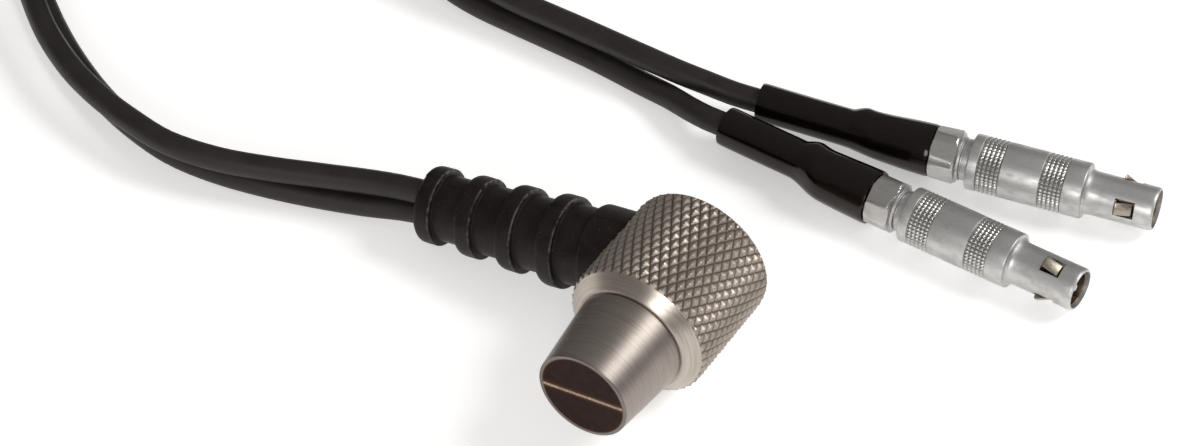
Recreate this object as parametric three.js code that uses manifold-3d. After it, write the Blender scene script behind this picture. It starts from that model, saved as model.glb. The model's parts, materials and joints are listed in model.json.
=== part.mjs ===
// Dual-element ultrasonic thickness-gauge probe with a right-angle cable boot,
// two thin coaxial leads stored in one neat coil, and two push-pull plugs.
// Millimetres, +Z up. The probe lies on its knurled side on the table, z = 0.
// +Y runs along the probe's axis from the contact face to the back cap, and
// the cable boot leaves toward -X.
import * as THREE from "three";
import { mergeVertices } from "three/addons/utils/BufferGeometryUtils.js";
import Module from "manifold-3d";

const wasm = await Module();
wasm.setup();

// ---------------------------------------------------------------- dimensions

const HEAD_R = 8.3; // knurled housing, crest radius; also the axis height
const HEAD_LENGTH = 24.4; // contact face to back cap
const FACE_Y = -HEAD_LENGTH / 2;
const BACK_Y = HEAD_LENGTH / 2;
const BEVEL_BACK_Y = -1; // where the front bevel meets the knurl
const BEVEL_LENGTH = 1.7;
const BEVEL_FRONT_Y = BEVEL_BACK_Y - BEVEL_LENGTH;
const BEVEL_FRONT_R = 6.5;
const HOUSING_BORE_R = 6.9;
const FRONT_WEB_LENGTH = 3.2;
const FRONT_BORE_R = 5.7;
const REAR_CHAMFER = 0.35;

const NOSE_TIP_R = 5.36;
const NOSE_BASE_R = 6.2;
const NOSE_WALL = 0.42;
const NOSE_BORE_R = NOSE_TIP_R - NOSE_WALL;
const NOSE_SPIGOT_R = 5.6;
const NOSE_SPIGOT_LENGTH = 3;
const NOSE_GAP = 0.15; // the thin dark line between nose and bevel

const FIT_GAP = 0.1; // between pieces turned about one axis
const SIDE_GAP = 0.3; // between pieces cut by a neighbour
const BARRIER_THICKNESS = 0.34;
const DELAY_LINE_R = NOSE_BORE_R - FIT_GAP;
const DELAY_LINE_LENGTH = 11.5;
const CRYSTAL_THICKNESS = 0.4;
const BACKING_LENGTH = 4.5;
const BACK_CAP_THICKNESS = 1.4;

const HEAD_ROLL = THREE.MathUtils.degToRad(7.6); // the boot's end sinks to the table
const BOOT_SWING = THREE.MathUtils.degToRad(3.5); // the rubber leans toward the nose
const BOOT_AXIS_Y = 8.2;
const BOOT_RISE = 0.08; // above the head's axis
const BOOT_END = 31.05; // from the head's axis to the boot's cable end
const BOOT_RIB_WIDTH = 2.1;
const BOOT_RIB_PITCH = 5.2;
const BOOT_FIRST_RIB = 14.4; // centre of the rib next to the collar
const BOOT_RIB_RADII = [5.03, 4.68, 4.43, 4.23];
const BOOT_GROOVE_DEPTH = 0.65;
const BOOT_COLLAR_R = 5.1;
const BOOT_COLLAR_END = 10.4;
const BOOT_SPIGOT_R = 2.8;
const BOOT_SPIGOT_START = 7.2;
const BOOT_HOLE_R = 3.2;

const CABLE_D = 2.8;
const CABLE_SIDES = 8;
const CABLE_TUBE_R = 1.35; // corner radius of the eight-sided tube
const CABLE_STEP = 6.5;

const COIL_X = -88.2;
const COIL_Y = 46.3;
const COIL_MID_R = 16.8; // middle of the turns, twelve cable diameters across
const COIL_COLUMNS = 4;
const COIL_LAYERS = 2;
const TURN_PITCH = 2.85;
const COIL_WIDTH = COIL_COLUMNS * TURN_PITCH;
const COIL_HEIGHT = COIL_LAYERS * TURN_PITCH;
const LOWER_COIL_Z = 0.8;
const UPPER_COIL_Z = LOWER_COIL_Z + COIL_HEIGHT + SIDE_GAP;
const TIE_THICKNESS = 0.5;
const TIE_WIDTH = 4;
const TIE_CLEARANCE = 0.25;

// A plug's own axis is its local +X: 0 at the nose's base, the mouth in front.
const PLUG_AXIS_Z = 3.25;
const PLUG_NOSE_LENGTH = 8;
const PLUG_NOSE_R = 2.45;
const PLUG_NOSE_BORE_R = 2.15;
const SHELL_R = 3.2;
const SHELL_LENGTH = 13.2;
const SHELL_PLAIN_R = 3.13; // beside the two knurled bands
const REAR_BAND = [-SHELL_LENGTH + 1.15, -SHELL_LENGTH + 3.85]; // knurled, for pulling
const FRONT_BAND = [-SHELL_LENGTH + 8.3, -SHELL_LENGTH + 11];
const SHELL_BORE_R = 2.55;
const SHELL_WEB = 1.2;
const NECK_R = 2.4;
const NECK_LENGTH = 1.4; // leaves room for the shell's travel
const NECK_END = -SHELL_LENGTH - NECK_LENGTH;
const NUT_LENGTH = 3;
const NUT_CORNER_R = 3.15;
const NUT_END = NECK_END - NUT_LENGTH;
const SLEEVE_R = 3.1; // heat-shrink at the nut
const SLEEVE_MID_R = 2.7; // where it passes over the end of the crimp
const SLEEVE_CABLE_R = 2.08;
const SLEEVE_FLARE = 0.04; // how much the narrow part widens toward the crimp
const SLEEVE_STEP = [NUT_END - 11.2, NUT_END - 8.6]; // where it widens over the crimp
const LATCH_COUNT = 3;
const LATCH_OUTER_R = 2.05;
const LATCH_INNER_R = 1.8;
const LATCH_ROOT = -2.5; // where each latch finger bends
const LATCH_TIP = 5.6;
const LATCH_HALF_ANGLE = THREE.MathUtils.degToRad(20);
const TAB_HALF_ANGLE = THREE.MathUtils.degToRad(17);
const TAB_BACK = 4;
const TAB_FRONT = 5.5;
const TAB_R = 2.85;
const WINDOW_BACK = 3.6;
const WINDOW_FRONT = 5.9;
const WINDOW_HALF_ANGLE = THREE.MathUtils.degToRad(24);
const SHIELD_R = 1.2;
const SHIELD_BORE_R = 1.0;
const SHIELD_CUP_BACK = 5.9; // the shield widens here to a cup inside the mouth
const SHIELD_CUP_FRONT = 7.6;
const SHIELD_CUP_WALL = 0.2;
const INSULATOR_R = 0.92;
const PIN_R = 0.35;
const PIN_RECESS = 0.55; // behind the mouth

const HEAD_SEGMENTS = 56;
const BOOT_SEGMENTS = 36;
const PLUG_SEGMENTS = 30;
const COIL_SEGMENTS = 48;

// ------------------------------------------------------------------ materials

function material(color, roughness, metalness) {
  return new THREE.MeshStandardMaterial({ color, roughness, metalness });
}

const STEEL = material(0x9b948c, 0.38, 1);
const TURNED_STEEL = material(0xb4aea8, 0.28, 1);
const RUBBER = material(0x1b1a1a, 0.75, 0);
const CABLE_JACKET = material(0x222122, 0.6, 0);
const SHRINK = material(0x0c0c0d, 0.22, 0);
const NICKEL = material(0x9a9a98, 0.3, 1);
const NICKEL_SILVER = material(0xb9a98c, 0.35, 1);
const BRASS = material(0xb08a4a, 0.35, 1);
const DELAY_PLASTIC = material(0x3a2620, 0.35, 0);
const BARRIER_CORK = material(0x9c8468, 0.9, 0);
const CERAMIC = material(0xc9c0a6, 0.5, 0);
const BACKING_EPOXY = material(0x4a4a4c, 0.8, 0);
const DARK_PLASTIC = material(0x2a2826, 0.5, 0);
const TIE_FABRIC = material(0x151515, 0.9, 0);

// -------------------------------------------------------------------- solids

function toManifold(geometry) {
  const plain = geometry.clone();
  plain.deleteAttribute("normal");
  plain.deleteAttribute("uv");
  const merged = mergeVertices(plain, 1e-5);
  const mesh = new wasm.Mesh({
    numProp: 3,
    vertProperties: new Float32Array(merged.attributes.position.array),
    triVerts: new Uint32Array(merged.index.array),
  });
  return new wasm.Manifold(mesh);
}

function toGeometry(manifold) {
  const mesh = manifold.getMesh();
  const geometry = new THREE.BufferGeometry();
  geometry.setAttribute("position", new THREE.BufferAttribute(mesh.vertProperties, 3));
  geometry.setIndex(new THREE.BufferAttribute(mesh.triVerts, 1));
  geometry.computeVertexNormals();
  return geometry;
}

// Turns a profile of [distance along the axis, radius] pairs about local +X.
// The profile closes on itself when it describes a hollow piece.
function turned(profile, segments) {
  const points = profile.map(([along, radius]) => new THREE.Vector2(radius, along));
  const geometry = new THREE.LatheGeometry(points, segments);
  return geometry.rotateZ(-Math.PI / 2);
}

function turnedAlongY(profile, segments) {
  return turned(profile, segments).rotateZ(Math.PI / 2);
}

function closed(profile) {
  return [...profile, profile[0]];
}

// A prism of an annular sector about local +X, centred on local +Z.
function sectorPrism(innerR, outerR, halfAngle, start, end) {
  const up = Math.PI / 2;
  const shape = new THREE.Shape();
  shape.absarc(0, 0, outerR, up - halfAngle, up + halfAngle, false);
  shape.absarc(0, 0, innerR, up + halfAngle, up - halfAngle, true);
  shape.closePath();
  const geometry = new THREE.ExtrudeGeometry(shape, {
    depth: end - start,
    bevelEnabled: false,
    curveSegments: 5,
  });
  geometry.rotateX(Math.PI / 2);
  geometry.rotateZ(Math.PI / 2);
  return geometry.translate(start, 0, 0);
}

// A half-round or full disc segment of the head, cut flat beside the barrier.
// side is +1 above the barrier and -1 below it.
function halfRound(radius, side, startY, endY) {
  const flat = BARRIER_THICKNESS / 2 + FIT_GAP;
  const inset = Math.asin(flat / radius);
  const shape = new THREE.Shape();
  shape.absarc(0, 0, radius, inset, Math.PI - inset, false);
  shape.closePath();
  const geometry = new THREE.ExtrudeGeometry(shape, {
    depth: endY - startY,
    bevelEnabled: false,
    curveSegments: 20,
  });
  geometry.rotateX(Math.PI / 2);
  geometry.translate(0, endY, 0);
  if (side < 0) {
    geometry.rotateY(Math.PI);
  }
  return geometry;
}

function named(name, geometry, look) {
  const mesh = new THREE.Mesh(geometry, look);
  mesh.name = name;
  return mesh;
}

// ---------------------------------------------------------------- probe head

function housing() {
  const webBackY = BEVEL_FRONT_Y + FRONT_WEB_LENGTH;
  const shell = turnedAlongY(closed([
    [BEVEL_FRONT_Y, FRONT_BORE_R],
    [BEVEL_FRONT_Y, BEVEL_FRONT_R],
    [BEVEL_BACK_Y, HEAD_R],
    [BACK_Y - REAR_CHAMFER, HEAD_R],
    [BACK_Y, HEAD_R - REAR_CHAMFER],
    [BACK_Y, HOUSING_BORE_R],
    [webBackY, HOUSING_BORE_R],
    [webBackY, FRONT_BORE_R],
  ]), HEAD_SEGMENTS);
  const hole = bootPlaced(new THREE.CylinderGeometry(BOOT_HOLE_R, BOOT_HOLE_R, HEAD_R, 32)
    .rotateZ(Math.PI / 2).translate(HEAD_R, 0, 0));
  return toGeometry(toManifold(shell).subtract(toManifold(hole)));
}

function noseSleeve() {
  const shoulderY = BEVEL_FRONT_Y - NOSE_GAP;
  const spigotEndY = BEVEL_FRONT_Y + NOSE_SPIGOT_LENGTH;
  return turnedAlongY(closed([
    [FACE_Y, NOSE_BORE_R],
    [FACE_Y, NOSE_TIP_R - FIT_GAP],
    [FACE_Y + FIT_GAP, NOSE_TIP_R],
    [shoulderY, NOSE_BASE_R],
    [shoulderY, NOSE_SPIGOT_R],
    [spigotEndY, NOSE_SPIGOT_R],
    [spigotEndY, NOSE_BORE_R],
  ]), HEAD_SEGMENTS);
}

function backCap() {
  return turnedAlongY([
    [BACK_Y - BACK_CAP_THICKNESS, 0],
    [BACK_Y - BACK_CAP_THICKNESS, HOUSING_BORE_R - FIT_GAP],
    [BACK_Y, HOUSING_BORE_R - FIT_GAP],
    [BACK_Y, 0],
  ], HEAD_SEGMENTS);
}

function acousticBarrier() {
  const length = DELAY_LINE_LENGTH + CRYSTAL_THICKNESS + BACKING_LENGTH;
  const width = 2 * (NOSE_BORE_R - FIT_GAP);
  return new THREE.BoxGeometry(width, length, BARRIER_THICKNESS)
    .translate(0, FACE_Y + length / 2, 0);
}

// ----------------------------------------------------------------- cable boot

// Moves a shape from the boot's own axis, local +X away from the head, to the
// head's frame, where the boot leaves toward -X.
function bootPlaced(geometry) {
  return geometry.rotateZ(Math.PI + BOOT_SWING).translate(0, BOOT_AXIS_Y, BOOT_RISE);
}

function bootProfile() {
  const grooveAfterCollar = BOOT_RIB_RADII[0] - BOOT_GROOVE_DEPTH;
  const profile = [
    [BOOT_SPIGOT_START, 0],
    [BOOT_SPIGOT_START, BOOT_COLLAR_R],
    [BOOT_COLLAR_END, BOOT_COLLAR_R],
    [BOOT_COLLAR_END + 0.2, grooveAfterCollar],
  ];
  const softEdge = 0.6;
  BOOT_RIB_RADII.forEach((radius, index) => {
    const centre = BOOT_FIRST_RIB + index * BOOT_RIB_PITCH;
    const nearEdge = centre - BOOT_RIB_WIDTH / 2;
    const farEdge = centre + BOOT_RIB_WIDTH / 2;
    profile.push([nearEdge, radius - BOOT_GROOVE_DEPTH]);
    profile.push([nearEdge, radius]);
    profile.push([farEdge - softEdge, radius]);
    profile.push([farEdge, radius - softEdge / 2]);
    if (index < BOOT_RIB_RADII.length - 1) {
      profile.push([farEdge, BOOT_RIB_RADII[index + 1] - BOOT_GROOVE_DEPTH]);
    }
  });
  profile.push([BOOT_END, 0]);
  return profile;
}

function strainRelief() {
  const body = bootPlaced(turned(bootProfile(), BOOT_SEGMENTS));
  const saddle = new THREE.CylinderGeometry(
    HEAD_R + SIDE_GAP, HEAD_R + SIDE_GAP, 2 * HEAD_LENGTH, HEAD_SEGMENTS);
  const spigotLength = BOOT_COLLAR_END - BOOT_SPIGOT_START;
  const spigot = bootPlaced(
    new THREE.CylinderGeometry(BOOT_SPIGOT_R, BOOT_SPIGOT_R, spigotLength, BOOT_SEGMENTS)
      .rotateZ(Math.PI / 2)
      .translate(BOOT_SPIGOT_START + spigotLength / 2, 0, 0));
  return toGeometry(toManifold(body).subtract(toManifold(saddle)).add(toManifold(spigot)));
}

function probeHead() {
  const head = new THREE.Group();
  head.position.z = HEAD_R;
  head.rotation.y = -HEAD_ROLL;
  const crystalY = FACE_Y + DELAY_LINE_LENGTH + FIT_GAP;
  const backingY = crystalY + CRYSTAL_THICKNESS + FIT_GAP;
  head.add(named("housing", housing(), STEEL));
  head.add(named("nose_sleeve", noseSleeve(), TURNED_STEEL));
  head.add(named("back_cap", backCap(), TURNED_STEEL));
  head.add(named("acoustic_barrier", acousticBarrier(), BARRIER_CORK));
  head.add(named("strain_relief", strainRelief(), RUBBER));
  const sides = [["transmit", 1], ["receive", -1]];
  for (const [label, side] of sides) {
    head.add(named(`delay_line_${label}`,
      halfRound(DELAY_LINE_R, side, FACE_Y, FACE_Y + DELAY_LINE_LENGTH), DELAY_PLASTIC));
    head.add(named(`crystal_${label}`,
      halfRound(DELAY_LINE_R, side, crystalY, crystalY + CRYSTAL_THICKNESS), CERAMIC));
    head.add(named(`backing_${label}`,
      halfRound(DELAY_LINE_R, side, backingY, backingY + BACKING_LENGTH), BACKING_EPOXY));
  }
  return head;
}

// ---------------------------------------------------------------------- leads

// Lead A leaves the top of the boot, runs over lead B, lies in the upper coil
// and ends in the rear plug. Lead B lies on the table, in the lower coil, and
// ends in the front plug.
const LEAD_A_FROM_BOOT = [
  [-31.25, 6.28, 5.65], [-34.6, 5.8, 5.3], [-38.5, 4.8, 4.95], [-43.2, 3.3, 4.6],
  [-48.7, 1.4, 4.35], [-54.5, -0.4, 4.3], [-60.6, -1.2, 4.3], [-66, -0.5, 4.3],
  [-71.1, 0.7, 4.3], [-76.4, 2.7, 4.3], [-82, 5.9, 4.3], [-87, 9.8, 4.5],
  [-92.2, 14.6, 5.3], [-97.4, 20.2, 6.6], [-101.6, 25.8, 7.6],
];
const LEAD_A_TO_PLUG = [
  [-63.7, 47.4, 10.2], [-59.8, 43.6, 9], [-55, 40.8, 7.6], [-49.8, 39, 6.2],
  [-45, 38.2, 5.1], [-39.8, 38.1, 4.4], [-31.6, 38.1, 4.35], [-23.4, 38.05, 4.3],
  [-18.4, 38.25, 4.05], [-15.4, 38.65, 3.75], [-12.2, 39.1, 3.4],
];
const LEAD_B_FROM_BOOT = [
  [-30.85, 6.28, 2.7], [-34.5, 5.6, 2.2], [-38.6, 4.4, 1.7], [-44.4, 2.7, 1.45],
  [-50, 1.2, 1.45], [-55.5, 0.2, 1.45], [-61.3, 0, 1.45], [-67.7, 1.3, 1.45],
  [-73.2, 3.3, 1.45], [-78.6, 6.1, 1.45], [-83, 8.9, 1.45], [-87.4, 12.2, 1.45],
  [-92.8, 16.6, 1.5], [-97.6, 21.4, 1.7], [-101.2, 25.7, 1.9],
];
const LEAD_B_TO_PLUG = [
  [-63.7, 47.2, 4.6], [-59.8, 43.1, 3.7], [-55, 40, 2.7], [-49.8, 38.4, 1.8],
  [-45, 37.8, 1.45], [-39.3, 37.6, 1.45], [-29.8, 37.4, 1.45], [-22.7, 36.75, 1.55],
  [-18.6, 36.15, 1.95], [-15.4, 35.15, 2.6], [-12.7, 34.5, 3.1],
];

function leadTube(points) {
  const route = points.map((point) => new THREE.Vector3(...point));
  const curve = new THREE.CatmullRomCurve3(route, false, "catmullrom", 0.5);
  const section = new THREE.Shape();
  for (let side = 0; side < CABLE_SIDES; side += 1) {
    const angle = (side + 0.5) * 2 * Math.PI / CABLE_SIDES;
    const x = CABLE_TUBE_R * Math.cos(angle);
    const y = CABLE_TUBE_R * Math.sin(angle);
    if (side === 0) {
      section.moveTo(x, y);
    } else {
      section.lineTo(x, y);
    }
  }
  section.closePath();
  return new THREE.ExtrudeGeometry(section, {
    steps: Math.round(curve.getLength() / CABLE_STEP),
    extrudePath: curve,
  });
}

function coilRing(baseZ) {
  const inner = COIL_MID_R - COIL_WIDTH / 2;
  const outer = COIL_MID_R + COIL_WIDTH / 2;
  const top = baseZ + COIL_HEIGHT;
  const round = CABLE_D / 4;
  const outline = [
    [inner, baseZ + round], [inner + round, baseZ], [outer - round, baseZ],
    [outer, baseZ + round], [outer, top - round], [outer - round, top],
    [inner + round, top], [inner, top - round],
  ];
  const points = closed(outline).map(([radius, z]) => new THREE.Vector2(radius, z));
  const ring = new THREE.LatheGeometry(points, COIL_SEGMENTS).rotateX(Math.PI / 2);
  return ring.translate(COIL_X, COIL_Y, 0);
}

// A flat band around both coils at their far side.
function coilTie() {
  const halfWidth = COIL_WIDTH / 2 + TIE_CLEARANCE;
  const bottom = LOWER_COIL_Z - TIE_CLEARANCE;
  const top = UPPER_COIL_Z + COIL_HEIGHT + TIE_CLEARANCE;
  const band = new THREE.Shape();
  band.moveTo(-halfWidth - TIE_THICKNESS, bottom - TIE_THICKNESS);
  band.lineTo(halfWidth + TIE_THICKNESS, bottom - TIE_THICKNESS);
  band.lineTo(halfWidth + TIE_THICKNESS, top + TIE_THICKNESS);
  band.lineTo(-halfWidth - TIE_THICKNESS, top + TIE_THICKNESS);
  band.closePath();
  const inside = new THREE.Path();
  inside.moveTo(-halfWidth, bottom);
  inside.lineTo(-halfWidth, top);
  inside.lineTo(halfWidth, top);
  inside.lineTo(halfWidth, bottom);
  inside.closePath();
  band.holes.push(inside);
  const geometry = new THREE.ExtrudeGeometry(band, { depth: TIE_WIDTH, bevelEnabled: false });
  geometry.rotateX(Math.PI / 2);
  geometry.rotateZ(Math.PI / 2);
  return geometry.translate(COIL_X - TIE_WIDTH / 2, COIL_Y + COIL_MID_R, 0);
}

// ---------------------------------------------------------------------- plugs

function releaseShell() {
  const edge = 0.15;
  const baseGroove = 0.3;
  const profile = closed([
    [-SHELL_LENGTH, SHELL_BORE_R],
    [-SHELL_LENGTH, SHELL_PLAIN_R - edge],
    [-SHELL_LENGTH + edge, SHELL_PLAIN_R],
    [REAR_BAND[0], SHELL_PLAIN_R],
    [REAR_BAND[0], SHELL_R],
    [REAR_BAND[1], SHELL_R],
    [REAR_BAND[1], SHELL_PLAIN_R],
    [FRONT_BAND[0], SHELL_PLAIN_R],
    [FRONT_BAND[0], SHELL_R],
    [FRONT_BAND[1], SHELL_R],
    [FRONT_BAND[1], SHELL_PLAIN_R],
    [-2 * edge, SHELL_PLAIN_R],
    [0, SHELL_PLAIN_R - 2 * edge],
    [0, PLUG_NOSE_R - edge],
    [baseGroove, PLUG_NOSE_R - edge],
    [baseGroove, PLUG_NOSE_R],
    [PLUG_NOSE_LENGTH - FIT_GAP, PLUG_NOSE_R],
    [PLUG_NOSE_LENGTH, PLUG_NOSE_R - FIT_GAP],
    [PLUG_NOSE_LENGTH, PLUG_NOSE_BORE_R],
    [-SHELL_WEB, PLUG_NOSE_BORE_R],
    [-SHELL_WEB, SHELL_BORE_R],
  ]);
  let shell = toManifold(turned(profile, PLUG_SEGMENTS));
  for (let index = 0; index < LATCH_COUNT; index += 1) {
    const cutter = sectorPrism(PLUG_NOSE_BORE_R - SIDE_GAP, PLUG_NOSE_R + SIDE_GAP,
      WINDOW_HALF_ANGLE, WINDOW_BACK, WINDOW_FRONT);
    cutter.rotateX(index * 2 * Math.PI / LATCH_COUNT);
    shell = shell.subtract(toManifold(cutter));
  }
  return toGeometry(shell);
}

function plugNeck() {
  const threadR = 1.9;
  const threadEnd = NECK_END - NUT_LENGTH * 0.7;
  const bulkhead = -8.3;
  const wireBoreR = 0.8;
  return turned(closed([
    [threadEnd, wireBoreR],
    [threadEnd, threadR],
    [NECK_END + FIT_GAP, threadR],
    [NECK_END + FIT_GAP, NECK_R],
    [-3.3, NECK_R],
    [-3.3, LATCH_OUTER_R + FIT_GAP],
    [bulkhead, LATCH_OUTER_R + FIT_GAP],
    [bulkhead, wireBoreR],
  ]), PLUG_SEGMENTS);
}

function colletNut() {
  const hexagon = new THREE.Shape();
  for (let corner = 0; corner < 6; corner += 1) {
    const angle = corner * Math.PI / 3;
    const x = NUT_CORNER_R * Math.cos(angle);
    const y = NUT_CORNER_R * Math.sin(angle);
    if (corner === 0) {
      hexagon.moveTo(x, y);
    } else {
      hexagon.lineTo(x, y);
    }
  }
  hexagon.closePath();
  const bore = new THREE.Path();
  bore.absarc(0, 0, 2, 0, 2 * Math.PI, true);
  hexagon.holes.push(bore);
  const nut = new THREE.ExtrudeGeometry(hexagon, {
    depth: NUT_LENGTH - FIT_GAP,
    bevelEnabled: false,
    curveSegments: 12,
  });
  return nut.rotateY(Math.PI / 2).translate(NUT_END, 0, 0);
}

function latchRing() {
  return turned(closed([
    [-8, LATCH_INNER_R],
    [-8, LATCH_OUTER_R],
    [LATCH_ROOT - SIDE_GAP, LATCH_OUTER_R],
    [LATCH_ROOT - SIDE_GAP, LATCH_INNER_R],
  ]), PLUG_SEGMENTS);
}

// A springy strip with a wedge that stands out of the nose's window.
function latchFinger() {
  const strip = sectorPrism(LATCH_INNER_R, LATCH_OUTER_R, LATCH_HALF_ANGLE,
    LATCH_ROOT, LATCH_TIP);
  const block = sectorPrism(LATCH_INNER_R + FIT_GAP, TAB_R, TAB_HALF_ANGLE, TAB_BACK, TAB_FRONT);
  const ramp = new THREE.Shape();
  ramp.moveTo(TAB_BACK - 1, 0);
  ramp.lineTo(TAB_FRONT + 1, 0);
  ramp.lineTo(TAB_FRONT + 1, LATCH_OUTER_R - 0.6);
  ramp.lineTo(TAB_BACK + 0.35, TAB_R);
  ramp.lineTo(TAB_BACK - 1, TAB_R + 1);
  ramp.closePath();
  const wedge = new THREE.ExtrudeGeometry(ramp, { depth: 4, bevelEnabled: false })
    .rotateX(Math.PI / 2).translate(0, 2, 0);
  const tab = toManifold(block).intersect(toManifold(wedge));
  return toGeometry(toManifold(strip).add(tab));
}

// The inner contact: a tube that widens to a cup just inside the nose's mouth.
function shieldTube() {
  const cupR = LATCH_OUTER_R;
  const cupFloor = SHIELD_CUP_BACK + 2 * SHIELD_CUP_WALL;
  return turned(closed([
    [-2.6, SHIELD_BORE_R],
    [-2.6, SHIELD_R],
    [SHIELD_CUP_BACK, SHIELD_R],
    [SHIELD_CUP_BACK, cupR],
    [SHIELD_CUP_FRONT, cupR],
    [SHIELD_CUP_FRONT, cupR - SHIELD_CUP_WALL],
    [cupFloor, cupR - SHIELD_CUP_WALL],
    [cupFloor, SHIELD_BORE_R],
  ]), PLUG_SEGMENTS);
}

function insulator() {
  return turned(closed([
    [-7.9, PIN_R + FIT_GAP],
    [-7.9, LATCH_INNER_R - FIT_GAP],
    [-3, LATCH_INNER_R - FIT_GAP],
    [-3, INSULATOR_R],
    [PLUG_NOSE_LENGTH - 2.4, INSULATOR_R],
    [PLUG_NOSE_LENGTH - 2.4, PIN_R + FIT_GAP],
  ]), PLUG_SEGMENTS);
}

function centrePin() {
  return turned([
    [-7.9, 0],
    [-7.9, PIN_R],
    [PLUG_NOSE_LENGTH - PIN_RECESS - 0.25, PIN_R],
    [PLUG_NOSE_LENGTH - PIN_RECESS, PIN_R / 2],
    [PLUG_NOSE_LENGTH - PIN_RECESS, 0],
  ], 14);
}

function sleeveEnd(place) {
  return NUT_END - SIDE_GAP - place.sleeveLength;
}

function shrinkSleeve(end) {
  return turned([
    [end, 0],
    [end, SLEEVE_CABLE_R],
    [SLEEVE_STEP[0], SLEEVE_CABLE_R + SLEEVE_FLARE],
    [SLEEVE_STEP[1], SLEEVE_MID_R],
    [NUT_END - SIDE_GAP, SLEEVE_R],
    [NUT_END - SIDE_GAP, 0],
  ], PLUG_SEGMENTS);
}

// label names the plug, mouth is the centre of its open end, heading is the
// direction it points in plan, and spin turns its latches about its axis.
function plug(label, place) {
  const group = new THREE.Group();
  group.position.set(place.mouth[0], place.mouth[1], PLUG_AXIS_Z);
  group.rotation.z = THREE.MathUtils.degToRad(place.heading);
  const pieces = new THREE.Group();
  pieces.position.x = -PLUG_NOSE_LENGTH;
  pieces.rotation.x = THREE.MathUtils.degToRad(place.spin);
  group.add(pieces);
  pieces.add(named(`${label}_release_shell`, releaseShell(), NICKEL));
  pieces.add(named(`${label}_neck`, plugNeck(), NICKEL));
  pieces.add(named(`${label}_collet_nut`, colletNut(), NICKEL));
  pieces.add(named(`${label}_latch_ring`, latchRing(), NICKEL_SILVER));
  pieces.add(named(`${label}_shield_tube`, shieldTube(), BRASS));
  pieces.add(named(`${label}_insulator`, insulator(), DARK_PLASTIC));
  pieces.add(named(`${label}_centre_pin`, centrePin(), BRASS));
  pieces.add(named(`${label}_heat_shrink`, shrinkSleeve(sleeveEnd(place)), SHRINK));
  for (let index = 0; index < LATCH_COUNT; index += 1) {
    const finger = latchFinger().rotateX(index * 2 * Math.PI / LATCH_COUNT);
    pieces.add(named(`${label}_latch_${index + 1}`, finger, NICKEL_SILVER));
  }
  return group;
}

// ------------------------------------------------------------------- assembly

// cableSide is how far to one side of the plug's axis the cable leaves its sleeve.
const FRONT_PLUG = {
  mouth: [35, 33], heading: -0.9, spin: 12.4, sleeveLength: 19.6, cableSide: 0.7,
};
const REAR_PLUG = {
  mouth: [36.4, 48.1], heading: 11.2, spin: 67, sleeveLength: 20.6, cableSide: 0.6,
};

// The last point of a lead's route: just behind its plug's heat-shrink.
function leadEnd(place) {
  const heading = THREE.MathUtils.degToRad(place.heading);
  const reach = PLUG_NOSE_LENGTH - sleeveEnd(place) + SIDE_GAP;
  return [
    place.mouth[0] - reach * Math.cos(heading) - place.cableSide * Math.sin(heading),
    place.mouth[1] - reach * Math.sin(heading) + place.cableSide * Math.cos(heading),
    PLUG_AXIS_Z,
  ];
}

const probe = new THREE.Group();
probe.add(probeHead());
probe.add(named("lead_a_from_boot", leadTube(LEAD_A_FROM_BOOT), CABLE_JACKET));
probe.add(named("lead_b_from_boot", leadTube(LEAD_B_FROM_BOOT), CABLE_JACKET));
probe.add(named("lead_a_coil", coilRing(UPPER_COIL_Z), CABLE_JACKET));
probe.add(named("lead_b_coil", coilRing(LOWER_COIL_Z), CABLE_JACKET));
probe.add(named("coil_tie", coilTie(), TIE_FABRIC));
probe.add(named("lead_a_to_plug", leadTube([...LEAD_A_TO_PLUG, leadEnd(REAR_PLUG)]), CABLE_JACKET));
probe.add(named("lead_b_to_plug", leadTube([...LEAD_B_TO_PLUG, leadEnd(FRONT_PLUG)]), CABLE_JACKET));
probe.add(plug("front_plug", FRONT_PLUG));
probe.add(plug("rear_plug", REAR_PLUG));

export default probe;
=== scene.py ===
"""The finished look of a dual-element ultrasonic thickness probe on twin leads.

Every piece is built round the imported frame. Lengths are in metres; the
dimensions of small turned parts are written in millimetres and scaled by MM.
A turned piece is made round its own local +X axis and then placed.
"""

import json
import math
from math import cos, pi, radians, sin

import bmesh
import bpy
from mathutils import Matrix, Vector, noise


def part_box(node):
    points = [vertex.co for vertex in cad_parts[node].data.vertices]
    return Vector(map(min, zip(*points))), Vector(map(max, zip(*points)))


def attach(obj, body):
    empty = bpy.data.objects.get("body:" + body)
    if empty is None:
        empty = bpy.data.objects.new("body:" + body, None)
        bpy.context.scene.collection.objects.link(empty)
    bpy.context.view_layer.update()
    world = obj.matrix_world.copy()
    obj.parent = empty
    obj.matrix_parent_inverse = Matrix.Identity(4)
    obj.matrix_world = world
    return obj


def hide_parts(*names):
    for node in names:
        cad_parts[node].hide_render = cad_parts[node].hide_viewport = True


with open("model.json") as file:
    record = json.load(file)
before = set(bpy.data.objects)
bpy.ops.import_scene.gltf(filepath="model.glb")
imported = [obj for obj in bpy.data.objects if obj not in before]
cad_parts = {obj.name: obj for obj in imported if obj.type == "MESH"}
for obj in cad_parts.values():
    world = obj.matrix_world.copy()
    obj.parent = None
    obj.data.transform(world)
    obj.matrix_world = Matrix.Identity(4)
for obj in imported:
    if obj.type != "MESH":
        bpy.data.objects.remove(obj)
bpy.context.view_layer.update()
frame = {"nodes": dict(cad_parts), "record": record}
record = frame["record"]
joints = {joint["name"]: joint for joint in record["behaviour"]["joints"]}
mounts = {mount["name"]: mount for mount in record["mounts"]}

MM = 0.001
TURN = 2 * pi

# ---- the camera

VIEW_AZIMUTH = radians(31.8)
VIEW_ELEVATION = radians(46.0)
VIEW_DISTANCE = 0.6
VIEW_TARGET = Vector((-0.0168, 0.0164, 0.0))
LENS_MM = 166.8


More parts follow.
